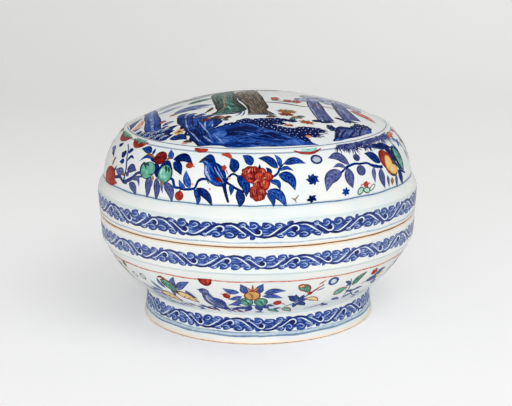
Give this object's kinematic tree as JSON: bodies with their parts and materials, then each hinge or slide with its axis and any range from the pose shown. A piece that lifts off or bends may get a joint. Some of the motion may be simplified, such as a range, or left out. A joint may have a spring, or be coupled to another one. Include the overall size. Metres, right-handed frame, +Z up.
{
  "type": "lidded box",
  "caption": "Round porcelain covered box: a footed bowl with an upright band and inner lip, and a domed lid that lifts straight off.",
  "frame": {"origin": "centre of the foot ring's underside, on the surface that the box stands on", "axes": "+Z up along the axis that both pieces are turned about; -Y faces the picture's viewer"},
  "size_m": [0.3036, 0.3036, 0.2099],
  "materials": {
    "glaze": "gloss",
    "biscuit": "matt",
    "cobalt_blue": "gloss",
    "iron_red": "gloss",
    "green_enamel": "gloss",
    "yellow_enamel": "gloss",
    "brown_enamel": "gloss"
  },
  "bodies": {
    "base": {"base": "glaze"},
    "lid": {"lid": "glaze"}
  },
  "joints": [
    {"name": "lid_lift", "type": "slide", "parent": "base", "child": "lid", "axis": [0, 0, 1], "range_m": [0, 0.2]}
  ]
}
